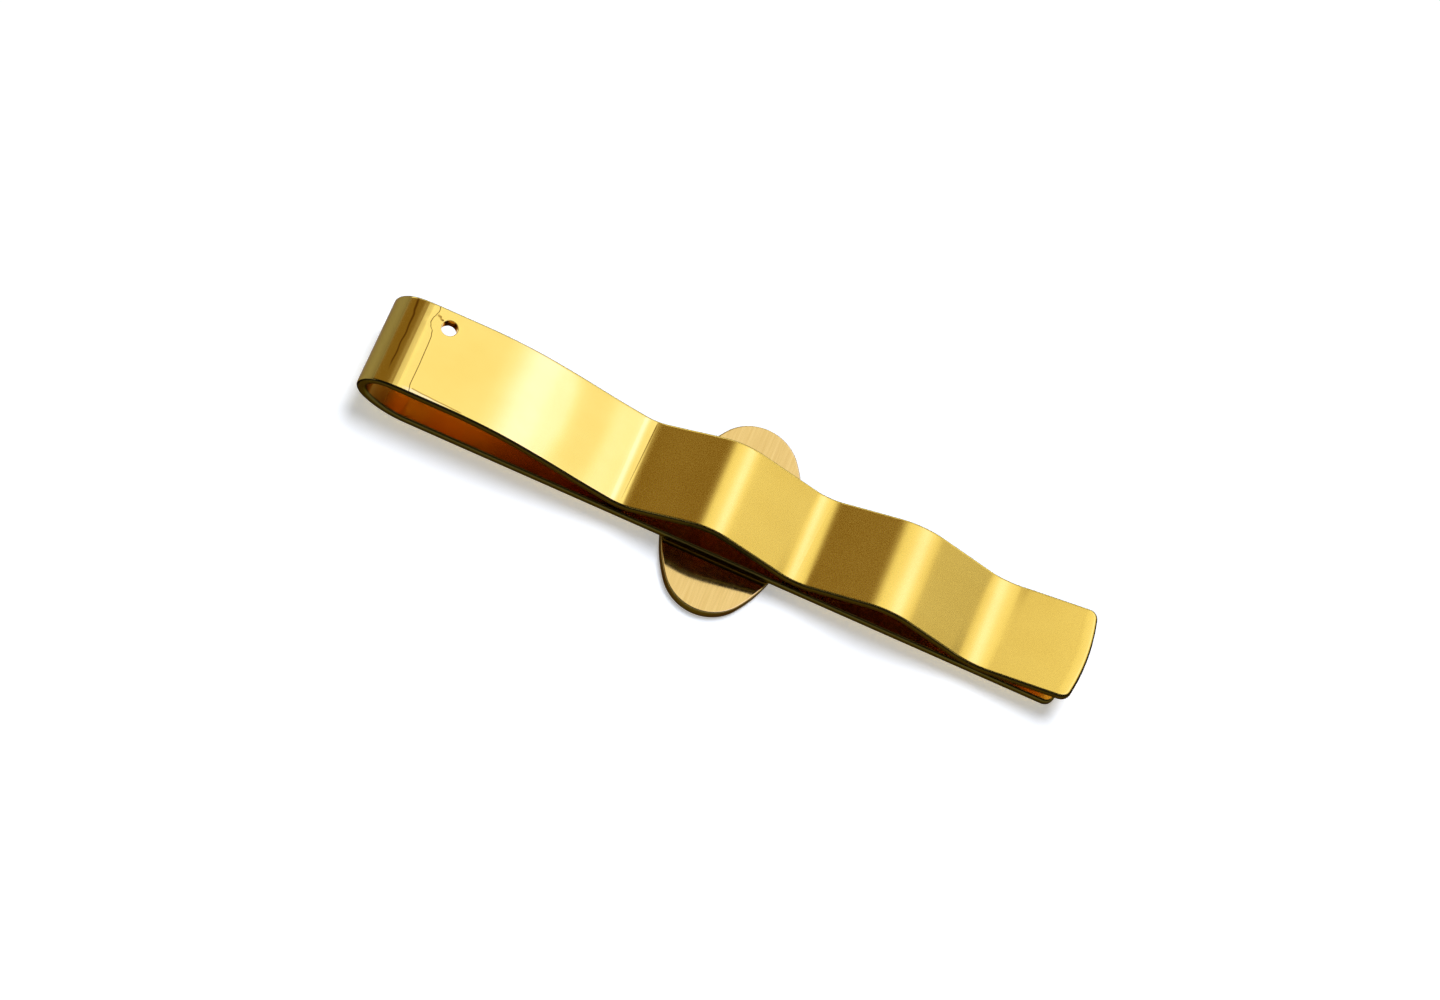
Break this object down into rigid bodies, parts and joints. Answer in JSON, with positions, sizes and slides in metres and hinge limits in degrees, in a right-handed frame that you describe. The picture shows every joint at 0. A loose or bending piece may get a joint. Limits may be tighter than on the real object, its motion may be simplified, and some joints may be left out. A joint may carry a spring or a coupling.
{
  "type": "tie clip",
  "caption": "Sprung tie clip: a gold-plated strip folded into a flat bar and a wavy gripping leg, with an oval plate soldered across the front.",
  "frame": {"origin": "middle of the clip's box, on the surface that the plate's front face lies on", "axes": "+X along the strip from the fold to the open mouth, +Y across the strip to the side with the keeper hole, +Z from the front plate to the back leg"},
  "size_m": [0.0582, 0.016, 0.0067],
  "materials": {
    "gold_strip": "bright gold plating over stainless spring steel",
    "gold_plate": "brushed gold plating over stainless steel",
    "solder": "dull solder"
  },
  "bodies": {
    "bar": {"front_bar": "gold_strip", "oval_plate": "gold_plate", "solder_film": "solder"},
    "leg": {"back_leg": "gold_strip"}
  },
  "joints": [
    {"name": "leg_flex", "type": "hinge", "parent": "bar", "child": "leg", "pos_m": [-0.0291, 0, 0.0044], "axis": [0, -1, 0], "range_deg": [0, 6], "stiffness_Nm_per_rad": 1.6, "springref_deg": -1.72}
  ]
}
